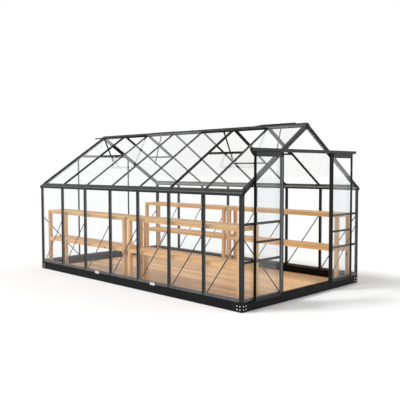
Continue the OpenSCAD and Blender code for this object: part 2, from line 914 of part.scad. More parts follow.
module shelf_boards(y0, y1, top_z) {
    board_w = (bench_d - (board_count - 1) * board_gap) / board_count;
    for (i = [0 : board_count - 1])
        translate([-bench_x + i * (board_w + board_gap), y0, top_z - board_t])
            cube([board_w, y1 - y0, board_t]);
}

module all_bench_legs(top_z) {
    color(pine) for (b = bench_ends) bench_legs(b[0], b[1], top_z, 0);
}

module all_bench_rails(top_z) {
    color(pine)
        for (b = bench_ends) {
            bench_rails(b[0], b[1], top_z);
            bench_rails(b[0], b[1], low_shelf_z);
        }
}

module all_bench_boards(top_z) {
    color(pine)
        for (b = bench_ends) {
            shelf_boards(b[0], b[1], top_z);
            difference() {
                shelf_boards(b[0], b[1], low_shelf_z);
                bench_legs(b[0], b[1], top_z, notch_gap);
            }
        }
}

module left_bench_legs() {
    all_bench_legs(left_bench_z);
}

module left_bench_rails() {
    all_bench_rails(left_bench_z);
}

module left_bench_boards() {
    all_bench_boards(left_bench_z);
}

module right_bench_legs() {
    mirror([1, 0, 0]) all_bench_legs(right_bench_z);
}

module right_bench_rails() {
    mirror([1, 0, 0]) all_bench_rails(right_bench_z);
}

module right_bench_boards() {
    mirror([1, 0, 0]) all_bench_boards(right_bench_z);
}

base_front();
base_back();
base_left();
base_right();
floor_deck();
corner_posts();
left_posts();
right_posts();
side_sills();
gable_sills();
left_eave_beam();
right_eave_beam();
left_rafters();
right_rafters();
gable_rafters();
ridge_beam();
end_caps();
gable_studs();
gable_rails();
wall_braces();
left_wall_panels();
right_wall_panels();
front_gable_panels();
back_gable_panels();
left_roof_panels();
right_roof_panels();
roof_cross_bars();
left_vent_frames();
right_vent_frames();
vent_panes();
vent_stays();
door_track();
door_threshold();
left_door_frame();
left_door_panes();
left_door_rollers();
right_door_frame();
right_door_panes();
right_door_rollers();
left_bench_legs();
left_bench_rails();
left_bench_boards();
right_bench_legs();
right_bench_rails();
right_bench_boards();
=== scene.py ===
"""Looks for the polycarbonate greenhouse: metal bars, grained boards, clear sheets, fittings."""
import math
import random

import bmesh
import bpy
from mathutils import Matrix, Vector


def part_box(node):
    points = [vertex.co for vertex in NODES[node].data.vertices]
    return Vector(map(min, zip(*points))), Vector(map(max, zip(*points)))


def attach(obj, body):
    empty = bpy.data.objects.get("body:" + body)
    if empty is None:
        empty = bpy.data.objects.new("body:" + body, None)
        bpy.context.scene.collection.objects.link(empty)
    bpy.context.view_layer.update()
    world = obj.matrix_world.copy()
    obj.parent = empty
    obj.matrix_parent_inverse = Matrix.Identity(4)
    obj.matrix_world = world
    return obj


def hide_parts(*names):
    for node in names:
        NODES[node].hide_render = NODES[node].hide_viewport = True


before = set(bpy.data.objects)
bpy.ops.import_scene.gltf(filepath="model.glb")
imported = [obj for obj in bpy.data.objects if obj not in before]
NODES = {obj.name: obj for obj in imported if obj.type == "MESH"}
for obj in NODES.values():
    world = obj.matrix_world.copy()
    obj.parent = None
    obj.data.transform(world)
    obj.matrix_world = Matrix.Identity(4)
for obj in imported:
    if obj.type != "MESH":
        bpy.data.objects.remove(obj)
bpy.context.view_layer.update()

SCENE = bpy.context.scene
ROOT, LEFT, RIGHT = "greenhouse", "left_door", "right_door"

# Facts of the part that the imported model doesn't name. All lengths here are in metres.
PANE_IN = 0.007                         # reach of a pane into its groove
STILE_IN, STILE_OUT = 0.045, 0.018      # widths of a door's inner and outer stiles
RAIL_FOOT, RAIL_HEAD = 0.034, 0.057     # heights of a door's bottom and top rails
VENT_RAFTERS = ((0, 1), (4, 5))         # rafters before and after each vent, from the doors

# What is added here.
BAR_EDGE = 0.0009                       # rounding of an extruded bar's edges
PLUG_T = 0.004                          # thickness of the plugs in the eave beams' ends
SHEEN_BAYS = (1, 4, 5, 7)              # bays whose ridge sides get a painted grey sheen, from the doors


# --- Material helpers ---

class Shader:
    """Builds one material's node tree; add() makes a node and links any input given as a socket."""

    def __init__(self, name):
        self.mat = bpy.data.materials.new(name)
        self.mat.use_nodes = True
        self.tree = self.mat.node_tree
        self.tree.nodes.clear()
        self.out = self.tree.nodes.new("ShaderNodeOutputMaterial")

    def add(self, kind, inputs=None, out=0, **props):
        n = self.tree.nodes.new("ShaderNode" + kind)
        for k, v in props.items():
            setattr(n, k, v)
        for k, v in (inputs or {}).items():
            if isinstance(v, bpy.types.NodeSocket):
                self.tree.links.new(v, n.inputs[k])
            else:
                n.inputs[k].default_value = v
        return n.outputs[out]

    def math(self, op, a, b):
        return self.add("Math", {0: a, 1: b}, operation=op)

    def scaled(self, vec, xyz):
        return self.add("VectorMath", {0: vec, 1: xyz}, operation="MULTIPLY")

    def noise(self, vec, scale, detail=3.0, rough=0.55):
        return self.add("TexNoise", {"Vector": vec, "Scale": scale, "Detail": detail,
                                     "Roughness": rough})

    def ramp(self, fac, stops, interp="LINEAR"):
        out = self.add("ValToRGB", {"Fac": fac})
        el = out.node.color_ramp.elements
        out.node.color_ramp.interpolation = interp
        while len(el) < len(stops):
            el.new(1.0)
        for e, (pos, val) in zip(el, stops):
            e.position = pos
            e.color = (val, val, val, 1) if isinstance(val, float) else (*val, 1)
        return out

    def mix(self, fac, a, b):
        """A mix of two colours; they are the Mix node's inputs 6 and 7, and numbers 2 and 3."""
        return self.add("Mix", {0: fac, 6: a, 7: b}, out=2, data_type="RGBA")

    def finish(self, shader):
        self.tree.links.new(shader, self.out.inputs["Surface"])
        return self.mat


def rgba(r, g, b):
    """An opaque colour for a socket."""
    return (r, g, b, 1.0)


def powder_coat(name, colour, rough, specular, dust=0.25):
    """Fine textured powder coat: orange-peel bump, soft tone changes, and dust on what faces up."""
    s = Shader(name)
    pos = s.add("TexCoord", out="Object")
    broad = s.noise(pos, 3.2, 4.0, 0.6)
    streak = s.noise(s.scaled(pos, (9.0, 9.0, 1.1)), 3.0, 3.0)
    tone = s.add("Mix", {0: 0.5, 2: broad, 3: streak})
    light = [min(1.0, c * 1.32 + 0.004) for c in colour]
    dark = [c * 0.74 for c in colour]
    base = s.mix(s.ramp(tone, [(0.36, 0.0), (0.64, 1.0)]), rgba(*dark), rgba(*light))
    up = s.add("SeparateXYZ", {0: s.add("NewGeometry", out="Normal")}, out="Z")
    lies = s.math("MULTIPLY", s.ramp(up, [(0.25, 0.0), (0.9, 1.0)]),
                  s.ramp(s.noise(pos, 14.0, 5.0, 0.65), [(0.42, 0.0), (0.72, 1.0)]))
    base = s.mix(s.math("MULTIPLY", lies, dust), base, rgba(0.30, 0.285, 0.26))
    grit = s.noise(pos, 700.0, 2.0)
    patches = s.noise(pos, 26.0, 4.0)
    roughness = s.add("MapRange", {"Value": patches, "From Min": 0.3, "From Max": 0.7,
                                   "To Min": rough - 0.07, "To Max": rough + 0.08})
    bump = s.add("Bump", {"Strength": 0.35, "Distance": 0.00012, "Height": grit})
    return s.finish(s.add("BsdfPrincipled", {"Base Color": base, "Roughness": roughness,
                                             "Specular IOR Level": specular, "Normal": bump}))


def clear_sheet(name, tint, ior):
    """Thin clear sheet: lets light straight through, mirrors more at a slant, faint haze.

    Both faces' reflections are given by the outer one, and sheets that face down mirror less.
    """
    s = Shader(name)
    pos = s.add("TexCoord", out="Object")
    haze = s.ramp(s.noise(pos, 2.6, 5.0, 0.62), [(0.35, 0.002), (0.75, 0.007)])
    specks = s.ramp(s.noise(pos, 160.0, 2.0), [(0.70, 0.0), (0.80, 0.03)])
    wave = s.noise(s.scaled(pos, (1.0, 1.0, 2.5)), 5.0, 2.0)
    bump = s.add("Bump", {"Strength": 0.25, "Distance": 0.0006, "Height": wave})
    film = s.add("BsdfPrincipled", {"Base Color": rgba(0.62, 0.64, 0.64), "Roughness": 0.35,
                                    "Normal": bump})
    see = s.add("BsdfTransparent", {"Color": rgba(*tint)})
    gloss = s.add("BsdfAnisotropic", {"Color": rgba(1.0, 1.0, 1.0), "Roughness": 0.06,
                                      "Normal": bump})
    veiled = s.add("MixShader", {0: s.math("ADD", haze, specks), 1: see, 2: film})
    once = s.add("Fresnel", {"IOR": ior, "Normal": bump})
    both = s.math("DIVIDE", s.math("MULTIPLY", once, 2.0), s.math("ADD", once, 1.0))
    outside = s.math("SUBTRACT", 1.0, s.add("NewGeometry", out="Backfacing"))
    up = s.add("SeparateXYZ", {0: s.add("NewGeometry", out="True Normal")}, out="Z")
    under = s.ramp(s.math("ADD", up, 1.0), [(0.3, 0.25), (0.9, 1.0)])
    mirror = s.math("MULTIPLY", s.math("MULTIPLY", both, outside), under)
    return s.finish(s.add("MixShader", {0: mirror, 1: veiled, 2: gloss}))


def timber(name, pale, mid, dark, knot, rough, tone_spread):
    """Sawn softwood, read from each piece's own grain coordinates (x runs along its length)."""
    s = Shader(name)
    grain = s.add("Attribute", out="Vector", attribute_name="grain")
    tone = s.add("Attribute", out="Fac", attribute_name="tone")
    bend = s.noise(s.scaled(grain, (1.6, 5.0, 5.0)), 1.0, 3.0)
    knots = s.add("TexVoronoi", {"Vector": s.scaled(grain, (0.8, 1.0, 1.0)), "Scale": 5.5})
    core = s.ramp(knots, [(0.055, 1.0), (0.085, 0.0)], "EASE")
    around = s.ramp(knots, [(0.05, 1.0), (0.26, 0.0)], "EASE")
    swirl = s.add("CombineXYZ", {1: s.math("ADD", s.math("MULTIPLY", bend, 0.045),
                                          s.math("MULTIPLY", around, 0.018)),
                                 2: s.math("MULTIPLY", bend, 0.03)})
    bent = s.add("VectorMath", {0: s.scaled(grain, (0.05, 1.0, 1.0)), 1: swirl}, operation="ADD")
    rings = s.add("TexWave", {"Vector": bent, "Scale": 44.0, "Distortion": 1.6, "Detail": 2.0,
                              "Detail Scale": 1.4}, out="Fac", wave_type="RINGS",
                  rings_direction="X", wave_profile="SAW")
    fibre = s.noise(s.scaled(grain, (7.0, 330.0, 330.0)), 1.0, 3.0, 0.6)
    broad = s.noise(s.scaled(grain, (1.2, 9.0, 9.0)), 1.0, 2.0)
    late = s.ramp(rings, [(0.0, 0.05), (0.62, 0.25), (0.93, 1.0), (1.0, 0.1)])
    base = s.mix(late, rgba(*pale), rgba(*mid))
    dark_fibre = s.math("MULTIPLY", s.ramp(fibre, [(0.45, 0.0), (0.75, 1.0)]), 0.45)
    base = s.mix(dark_fibre, base, rgba(*dark))
    mid_patch = s.math("MULTIPLY", s.ramp(broad, [(0.35, 0.0), (0.7, 1.0)]), 0.4)
    base = s.mix(mid_patch, base, rgba(*mid))
    lift = s.add("MapRange", {"Value": tone, "To Min": 1.0 - tone_spread,
                              "To Max": 1.0 + tone_spread})
    base = s.add("VectorMath", {0: base, 3: lift}, operation="SCALE")
    base = s.mix(s.math("MULTIPLY", around, 0.35), base, rgba(*dark))
    base = s.mix(core, base, rgba(*knot))
    height = s.math("ADD", s.math("MULTIPLY", fibre, 0.6), s.math("MULTIPLY", late, 0.5))
    bump = s.add("Bump", {"Strength": 0.4, "Distance": 0.0004, "Height": height})
    roughness = s.add("MapRange", {"Value": fibre, "From Min": 0.3, "From Max": 0.7,
                                   "To Min": rough - 0.08, "To Max": rough + 0.08})
    return s.finish(s.add("BsdfPrincipled", {"Base Color": base, "Roughness": roughness,
                                             "Specular IOR Level": 0.35, "Normal": bump}))


def moulded(name, colour, rough):
    """Moulded plastic or rubber with a fine spark-eroded texture."""
    s = Shader(name)
    pos = s.add("TexCoord", out="Object")
    tone = s.ramp(s.noise(pos, 40.0, 3.0), [(0.35, 0.0), (0.65, 1.0)])
    base = s.mix(tone, rgba(*[c * 0.8 for c in colour]), rgba(*[c * 1.35 for c in colour]))
    bump = s.add("Bump", {"Strength": 0.3, "Distance": 0.0001, "Height": s.noise(pos, 1400.0, 1.0)})
    roughness = s.add("MapRange", {"Value": s.noise(pos, 60.0), "To Min": rough - 0.1,
                                   "To Max": rough + 0.1})
    return s.finish(s.add("BsdfPrincipled", {"Base Color": base, "Roughness": roughness,
                                             "Specular IOR Level": 0.12, "Normal": bump}))


def zinc(name, colour, rough):
    """Bright zinc plating with a faint spangle."""
    s = Shader(name)
    pos = s.add("TexCoord", out="Object")
    spangle = s.add("TexVoronoi", {"Vector": pos, "Scale": 260.0}, out="Color")
    grey = s.add("RGBToBW", {0: spangle})
    base = s.mix(s.math("MULTIPLY", grey, 0.5), rgba(*colour), rgba(*[c * 0.8 for c in colour]))
    roughness = s.add("MapRange", {"Value": s.noise(pos, 90.0), "To Min": rough - 0.08,
                                   "To Max": rough + 0.12})
    return s.finish(s.add("BsdfPrincipled", {"Base Color": base, "Roughness": roughness,
                                             "Metallic": 0.75}))


STEEL = powder_coat("base_steel", (0.0065, 0.0065, 0.0068), 0.55, 0.10, dust=0.05)
# The lighter copies of the coats, put on rounded edges and some faces, are painted highlight.
STEEL_HIGHLIGHT = powder_coat("base_steel_painted_highlight", (0.02, 0.02, 0.0205), 0.42, 0.2, dust=0.05)
FRAME = powder_coat("frame_metal", (0.014, 0.0145, 0.015), 0.46, 0.20, dust=0.08)
FRAME_HIGHLIGHT = powder_coat("frame_metal_painted_highlight", (0.05, 0.051, 0.052), 0.36, 0.35, dust=0.08)
SILL = powder_coat("sill_metal", (0.085, 0.088, 0.088), 0.44, 0.4)
SILL_HIGHLIGHT = powder_coat("sill_metal_painted_highlight", (0.14, 0.143, 0.143), 0.34, 0.5)
# A darker, matt copy of the frame coat, used as painted shade.
MATT_SHADE = powder_coat("frame_metal_matt_painted_shade", (0.006, 0.006, 0.0062), 0.7, 0.03, dust=0.0)
SHADE = powder_coat("frame_metal_shade", (0.008, 0.008, 0.0078), 0.5, 0.12, dust=0.03)
# A lighter copy of the frame coat, put on some faces as painted light.
PALE_LIT = powder_coat("frame_metal_painted_light", (0.08, 0.0815, 0.0825), 0.42, 0.3, dust=0.08)
# A grey painted sheen for the ridge's sides in some bays.
SHEEN_GREY = powder_coat("ridge_painted_sheen", (0.27, 0.285, 0.29), 0.55, 0.2, dust=0.0)
# Painted bounce light for the eave beams' undersides.
BOUNCE_LIGHT = powder_coat("eave_painted_bounce_light", (0.33, 0.36, 0.375), 0.5, 0.2, dust=0.0)
# A painted highlight for the eave beams' outer arris.
ARRIS_HIGHLIGHT = powder_coat("eave_painted_arris_highlight", (0.20, 0.203, 0.205), 0.34, 0.4, dust=0.0)
PLASTIC = moulded("black_plastic", (0.006, 0.006, 0.006), 0.55)
RUBBER = moulded("black_rubber", (0.004, 0.004, 0.004), 0.7)
SHEET = clear_sheet("clear_sheet", (0.977, 0.981, 0.981), 1.32)
DOOR_SHEET = clear_sheet("clear_door_sheet", (0.945, 0.951, 0.952), 1.25)
PINE = timber("pine", (0.86, 0.54, 0.25), (0.70, 0.38, 0.14), (0.42, 0.20, 0.065),
              (0.08, 0.034, 0.014), 0.55, 0.16)
FLOOR = timber("floor_wood", (0.88, 0.58, 0.30), (0.72, 0.41, 0.18), (0.42, 0.20, 0.075),
               (0.13, 0.055, 0.025), 0.42, 0.22)
ZINC = zinc("zinc_plate", (0.86, 0.86, 0.85), 0.3)
PLATE = zinc("splice_plate", (0.72, 0.74, 0.70), 0.45)
BLACK_ZINC = zinc("black_zinc", (0.03, 0.03, 0.03), 0.45)


# --- Mesh helpers ---

def finish_piece(name, bm, body, mats, sharp=48.0, replaced=()):
    """Makes a piece of the mesh, riding on a body and in place of any CAD nodes named."""
    me = bpy.data.meshes.new(name)
    bm.normal_update()
    bm.to_mesh(me)
    bm.free()
    for m in mats:
        me.materials.append(m)
    me.polygons.foreach_set("use_smooth", [True] * len(me.polygons))
    me.set_sharp_from_angle(angle=math.radians(sharp))
    ob = bpy.data.objects.new(name, me)
    SCENE.collection.objects.link(ob)
    wn = ob.modifiers.new("flat_faces", "WEIGHTED_NORMAL")
    wn.keep_sharp = True
    wn.weight = 100
    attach(ob, body)
    if replaced:
        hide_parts(*replaced)


def cad_copy(node):
    """The node's mesh with whole faces again, ready to be rounded."""
    bm = bmesh.new()
    bm.from_mesh(NODES[node].data)
    bmesh.ops.remove_doubles(bm, verts=bm.verts, dist=2e-5)
    bmesh.ops.dissolve_limit(bm, angle_limit=math.radians(0.5), verts=bm.verts, edges=bm.edges)
    return bm


def round_edges(bm, radius, material=-1, edges=None):
    """Rounds the sharp edges of a mesh, or those of the given edges."""
    sharp = [e for e in edges or bm.edges
             if len(e.link_faces) == 2 and e.calc_face_angle(0.0) > math.radians(25)]
    bmesh.ops.bevel(bm, geom=sharp, offset=radius, offset_type="OFFSET", segments=2,
                    profile=0.5, affect="EDGES", clamp_overlap=True, material=material)


def islands(bm):
    """The connected solids of a mesh, each as a list of vertices."""
    left = set(bm.verts)
    found = []
    for start in list(bm.verts):
        if start not in left:
            continue
        left.discard(start)
        group, queue = [], [start]
        while queue:
            v = queue.pop()
            group.append(v)
            for e in v.link_edges:
                o = e.other_vert(v)
                if o in left:
                    left.discard(o)
                    queue.append(o)
        found.append(group)
    return found


def box_of(verts):
    """The lowest and highest corners of some vertices."""
    lo = Vector([min(v.co[i] for v in verts) for i in range(3)])
    hi = Vector([max(v.co[i] for v in verts) for i in range(3)])
    return lo, hi


def node_boxes(node):
    """The box of each separate solid of a CAD node, low corner first."""
    bm = bmesh.new()
    bm.from_mesh(NODES[node].data)
    bmesh.ops.remove_doubles(bm, verts=bm.verts, dist=2e-5)
    boxes = sorted((box_of(g) for g in islands(bm)), key=lambda b: [round(c, 4) for c in b[0]])
    bm.free()
    return boxes


def slope_axes(side):
    """Unit vectors up one slope of the roof and out of it, read from that side's rafters."""
    bm = cad_copy(side + "_rafters")
    longest = max(bm.edges, key=lambda e: e.calc_length())
    up = (longest.verts[1].co - longest.verts[0].co).normalized()
    up *= 1 if up.z > 0 else -1
    bm.free()
    return up, Vector((-math.copysign(up.z, up.x), 0, abs(up.x)))


SLOPES = {side: slope_axes(side) for side in ("left", "right")}


def cut_across(bm, axis, places):
    """Splits faces at planes square to an axis, so that materials can change there."""
    for place in places:
        at = Vector((0, 0, 0))
        at[axis] = place
        no = Vector((0, 0, 0))
        no[axis] = 1
        bmesh.ops.bisect_plane(bm, geom=bm.verts[:] + bm.edges[:] + bm.faces[:], dist=1e-6,
                               plane_co=at, plane_no=no)


def rounded_bars(node, body, mats, radius=BAR_EDGE, pick=None, cuts=()):
    """A rounded copy of a CAD node, with the second material on its edges; on metal bars that is a
    lighter coat, a painted highlight.

    pick() may give a face another material, by the face's middle and normal.
    """
    bm = cad_copy(node)
    cut_across(bm, 0, cuts)
    round_edges(bm, radius, material=1)
    if pick:
        bm.normal_update()
        for f in bm.faces:
            f.material_index = pick(f.calc_center_median(), f.normal) or f.material_index
    finish_piece(node + "_bars", bm, body, mats, replaced=(node,))


def rounded_cube(bm, lo, hi, radius, place=Matrix()):
    """The vertices of a rounded box between two corners, moved by a matrix if one is given."""
    m = place @ Matrix.Translation((lo + hi) / 2) @ Matrix.Diagonal((*(hi - lo), 1.0))
    made = bmesh.ops.create_cube(bm, size=1.0, matrix=m)
    edges = dict.fromkeys(e for v in made["verts"] for e in v.link_edges)
    out = bmesh.ops.bevel(bm, geom=list(edges), offset=radius, segments=2, profile=0.5,
                          affect="EDGES", clamp_overlap=True)
    return list(dict.fromkeys(v for f in out["faces"] for v in f.verts))


def add_block(bm, lo, hi, radius, material=0, place=Matrix()):
    """A rounded box of one material."""
    for v in rounded_cube(bm, Vector(lo), Vector(hi), radius, place):
        for f in v.link_faces:
            f.material_index = material


def on_slope(side, at):
    """A block's place on the roof: its x goes up the slope, y along the house, z out of it."""
    along, out = SLOPES[side]
    turn = Matrix((along, out.cross(along), out)).transposed()
    return Matrix.Translation(at) @ turn.to_4x4()


def rafters_of(side):
    """A copy of one slope's rafters, and their vertices one rafter at a time from the doors."""
    bm = cad_copy(side + "_rafters")
    return bm, sorted(islands(bm), key=lambda g: box_of(g)[0].y)


def add_prism(bm, outline, y0, y1):
    """A solid with an outline in x and z, between two places along y."""
    rings = [[bm.verts.new((x, y, z)) for x, z in outline] for y in (y0, y1)]
    made = [bm.faces.new(rings[0]), bm.faces.new(rings[1][::-1])]
    for i in range(len(outline)):
        j = (i + 1) % len(outline)
        made.append(bm.faces.new((rings[0][j], rings[0][i], rings[1][i], rings[1][j])))
    bmesh.ops.recalc_face_normals(bm, faces=made)


def timber_mesh(bm=None):
    """A mesh with room for grain coordinates and a tone at each vertex."""
    bm = bm or bmesh.new()
    bm.verts.layers.float_vector.new("grain")
    bm.verts.layers.float.new("tone")
    return bm


def give_grain(bm, verts, rng):
    """Writes grain coordinates and a tone for one timber, x along its longest side."""
    grain, tone = bm.verts.layers.float_vector["grain"], bm.verts.layers.float["tone"]
    lo, hi = box_of(verts)
    axis = max(range(3), key=lambda i: hi[i] - lo[i])
    a, b = [i for i in range(3) if i != axis]
    mid = (lo + hi) / 2
    shift = Vector((rng.uniform(0, 40), rng.uniform(-0.05, 0.05), rng.uniform(0.02, 0.09)))
    level = rng.random()
    for v in verts:
        d = v.co - mid
        v[grain] = Vector((d[axis], d[a], d[b])) + shift
        v[tone] = level


def add_timber(bm, lo, hi, rng, radius):
    """One rounded timber between two corners."""
    give_grain(bm, rounded_cube(bm, lo, hi, radius), rng)


def basis(normal):
    """A rotation whose z axis is the normal."""
    z = Vector(normal).normalized()
    x = Vector((0, 0, 1)).cross(z)
    if x.length < 1e-6:
        x = Vector((1, 0, 0))
    x.normalize()
    return Matrix((x, z.cross(x), z)).transposed()


def lathe(bm, pos, normal, profile, seg, hexed=()):
    """Turns (radius, height) pairs about a normal; rings named in hexed are six-sided."""
    rot = basis(normal)
    rings = []
    for k, (r, h) in enumerate(profile):
        if r < 1e-7:
            rings.append([bm.verts.new(Vector(pos) + rot @ Vector((0, 0, h)))])
            continue
        ring = []
        for i in range(seg):
            a = 2 * math.pi * i / seg
            reach = r
            if k in hexed:
                reach *= math.cos(math.pi / 6) / math.cos((a % (math.pi / 3)) - math.pi / 6)
            spot = Vector((reach * math.cos(a), reach * math.sin(a), h))
            ring.append(bm.verts.new(Vector(pos) + rot @ spot))
        rings.append(ring)
    for a, b in zip(rings, rings[1:]):
        for i in range(seg):
            j = (i + 1) % seg
            if len(a) == 1:
                bm.faces.new((a[0], b[i], b[j]))
            elif len(b) == 1:
                bm.faces.new((a[i], b[0], a[j]))
            else:
                bm.faces.new((a[i], b[i], b[j], a[j]))


def add_screw(bm, pos, normal, r, h):
    """A pan head with a six-sided socket."""
    lathe(bm, pos, normal, [(0, 0.35 * h), (0.38 * r, 0.35 * h), (0.42 * r, h), (0.7 * r, 0.93 * h),
                            (0.92 * r, 0.62 * h), (r, 0.2 * h), (r, 0.0), (0, 0.0)],
          seg=18, hexed=(1, 2))


# --- Metal bars, rounded at the true scale of extruded and folded sections ---

def painted_shade_faces(c, n):
    """The third material, a painted shade, for faces turned towards the middle of the house, or
    down.
    """
    return 2 if n.x * (1 if c.x < 0 else -1) > 0.5 or n.z < -0.3 else 0


for node in ("corner_posts", "left_posts", "right_posts", "left_rafters", "right_rafters",
             "left_vent_frames", "right_vent_frames"):
    rounded_bars(node, ROOT, (FRAME, FRAME_HIGHLIGHT, MATT_SHADE), pick=painted_shade_faces)
# Inner and downward faces get painted shade; the rest of the right-hand gable rafter gets a darker
# painted shade too.
rounded_bars("gable_rafters", ROOT, (FRAME, FRAME_HIGHLIGHT, MATT_SHADE, SHADE),
             pick=lambda c, n: painted_shade_faces(c, n) or (3 if c.x > 0 else 0))


def eave_beam(side):
    """The eave beam between its plugs, with a painted highlight along a broad arris, painted bounce
    light underneath and a painted highlight on its inner face.
    """
    bm = cad_copy(side + "_eave_beam")
    lo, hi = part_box(side + "_eave_beam")
    for v in bm.verts:
        v.co.y = min(max(v.co.y, lo.y + PLUG_T), hi.y - PLUG_T)
    out = SLOPES[side][1]
    # The outer arris is bevelled broad and coloured as a painted highlight.
    arris = [e for e in bm.edges if len(e.link_faces) == 2 and e.calc_length() > 1.0
             and any(f.normal.dot(out) > 0.99 for f in e.link_faces)
             and any(f.normal.x * out.x > 0.5 and abs(f.normal.z) < 0.01 for f in e.link_faces)]
    bmesh.ops.bevel(bm, geom=arris, offset=0.0045, offset_type="WIDTH", segments=3, profile=0.5,
                    affect="EDGES", clamp_overlap=True, material=2)
    round_edges(bm, BAR_EDGE, material=1, edges=[
        e for e in bm.edges if all(f.material_index == 0 for f in e.link_faces)])
    bm.normal_update()
    # Painted bounce light underneath, and a painted highlight on the inner face.
    for f in bm.faces:
        if f.normal.dot(out) < -0.99:
            f.material_index = 3
        elif f.normal.x * out.x < -0.9:
            f.material_index = 1
    finish_piece(side + "_eave_beam_bars", bm, ROOT, (FRAME, FRAME_HIGHLIGHT, ARRIS_HIGHLIGHT, BOUNCE_LIGHT),
                 replaced=(side + "_eave_beam",))


eave_beam("left")
eave_beam("right")


def ridge():
    """The ridge beam, with a painted grey sheen down its sides in some bays and painted shade down
    them in the rest and underneath, and its black capping.
    """
    lo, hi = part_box("ridge_beam")
    bays = len(node_boxes("left_posts")) + 1
    pitch = (hi.y - lo.y) / bays
    bm = cad_copy("ridge_beam")
    cut_across(bm, 1, [lo.y + i * pitch for i in range(1, bays)
                       if not (i in SHEEN_BAYS and i + 1 in SHEEN_BAYS)])
    round_edges(bm, BAR_EDGE, material=1)
    bm.normal_update()
    for f in bm.faces:
        c = f.calc_center_median()
        side = "left" if c.x < 0 else "right"
        # Painted shade underneath; down the sides, painted sheen in some bays and painted shade in
        # the others.
        if f.normal.z < -0.75:
            f.material_index = 2
        elif f.normal.dot(SLOPES[side][0]) < -0.9:
            f.material_index = 3 if 1 + int((c.y - lo.y) / pitch) in SHEEN_BAYS else 2
    finish_piece("ridge_beam_bars", bm, ROOT, (FRAME, FRAME_HIGHLIGHT, MATT_SHADE, SHEEN_GREY),
                 replaced=("ridge_beam",))
    bm = bmesh.new()
    top = Vector((0, 0, hi.z))
    reach, thick = 0.020, 0.0014        # down each slope, and out of it
    low = [top - SLOPES["left"][0] * reach, top, top - SLOPES["right"][0] * reach]
    lift = [SLOPES["left"][1] * thick, Vector((0, 0, 0.0017)), SLOPES["right"][1] * thick]
    outline = low + [q + h for q, h in zip(low[::-1], lift[::-1])]
    add_prism(bm, [(q.x, q.z) for q in outline], lo.y + 0.0005, hi.y - 0.0005)
    round_edges(bm, 0.0004)
    finish_piece("ridge_capping", bm, ROOT, (PLASTIC,))


ridge()
CILL_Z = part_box("roof_cross_bars")[1].z - 0.040      # only the vents' cills are above this
# Every cross bar gets painted shade, and the right vents' cills a painted light instead.
rounded_bars("roof_cross_bars", ROOT, (MATT_SHADE, FRAME, PALE_LIT),
             pick=lambda c, n: 2 if c.x > 0 and c.z > CILL_Z else 0)
for node in ("gable_studs", "gable_rails", "door_track"):
    rounded_bars(node, ROOT, (FRAME, FRAME_HIGHLIGHT))
rounded_bars("wall_braces", ROOT, (FRAME, FRAME_HIGHLIGHT), radius=0.0006)
STILES = (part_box("left_door_frame")[0].x + STILE_OUT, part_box("left_door_frame")[1].x - STILE_IN)


def left_stiles_lit_and_shaded(c, n):
    """The left door's faces that look out: painted shade on the outer stile and painted light on
    the inner one.
    """
    if n.y < -0.9 or n.x < -0.9:
        return 2 if c.x > STILES[1] - 0.001 else 3 if c.x < STILES[0] + 0.001 else 0
    return 0


rounded_bars("left_door_frame", LEFT, (FRAME, FRAME_HIGHLIGHT, PALE_LIT, MATT_SHADE),
             pick=left_stiles_lit_and_shaded, cuts=STILES)
rounded_bars("right_door_frame", RIGHT, (FRAME, FRAME_HIGHLIGHT))
for node in ("base_front", "base_back", "base_left", "base_right"):
    rounded_bars(node, ROOT, (STEEL, STEEL_HIGHLIGHT), radius=0.0012)
rounded_bars("door_threshold", ROOT, (STEEL, STEEL_HIGHLIGHT), radius=0.0006)
for node in ("side_sills", "gable_sills"):
    rounded_bars(node, ROOT, (SILL, SILL_HIGHLIGHT), radius=0.0007)
for node, body in (("end_caps", ROOT), ("vent_stays", ROOT), ("left_door_rollers", LEFT),
                   ("right_door_rollers", RIGHT)):
    rounded_bars(node, body, (PLASTIC, PLASTIC), radius=0.0005)
SHEETS = {node: ROOT for node in (
    "left_wall_panels", "right_wall_panels", "front_gable_panels", "back_gable_panels",
    "left_roof_panels", "right_roof_panels", "vent_panes")}
SHEETS |= {"left_door_panes": LEFT, "right_door_panes": RIGHT}
for node in SHEETS:
    for slot in NODES[node].material_slots:
        slot.material = DOOR_SHEET if "door" in node else SHEET


# --- Floor boards ---

def floor_boards():
    """Boards along the house, each row cut at two or three places near set shares of it."""
    lo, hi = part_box("floor_deck")
    rng = random.Random(21)
    rows, half_gap = 20, 0.0006
    width = (hi.x - lo.x) / rows
    inset = Vector((half_gap, half_gap, 0))
    bm = timber_mesh()
    for i in range(rows):
        x0, x1 = lo.x + i * width, lo.x + (i + 1) * width
        cuts = sorted(lo.y + (hi.y - lo.y) * share + rng.uniform(-0.12, 0.12)
                      for share in ((0.33, 0.70) if i % 2 else (0.18, 0.52, 0.85)))
        ends = [lo.y] + cuts + [hi.y]
        for a, b in zip(ends, ends[1:]):
            add_timber(bm, Vector((x0, a, lo.z)) + inset, Vector((x1, b, hi.z)) - inset, rng,
                       radius=0.0016)
    finish_piece("floor_boards", bm, ROOT, (FLOOR,), replaced=("floor_deck",))


floor_boards()


# --- Staging ---

def staging(side):
    """The shelves' boards in the CAD's shapes, and the legs and rails as plain timbers."""
    rng = random.Random(31 if side == "left" else 37)
    bm = timber_mesh(cad_copy(side + "_bench_boards"))
    round_edges(bm, 0.0025)
    for group in islands(bm):
        give_grain(bm, group, rng)
    finish_piece(side + "_staging_boards", bm, ROOT, (PINE,),
                 replaced=(side + "_bench_boards",))
    for kind, radius in (("legs", 0.003), ("rails", 0.002)):
        bm = timber_mesh()
        for lo, hi in node_boxes(side + "_bench_" + kind):
            add_timber(bm, lo, hi, rng, radius)
        finish_piece(side + "_staging_" + kind, bm, ROOT, (PINE,),
                     replaced=(side + "_bench_" + kind,))


staging("left")
staging("right")


# --- Fittings ---

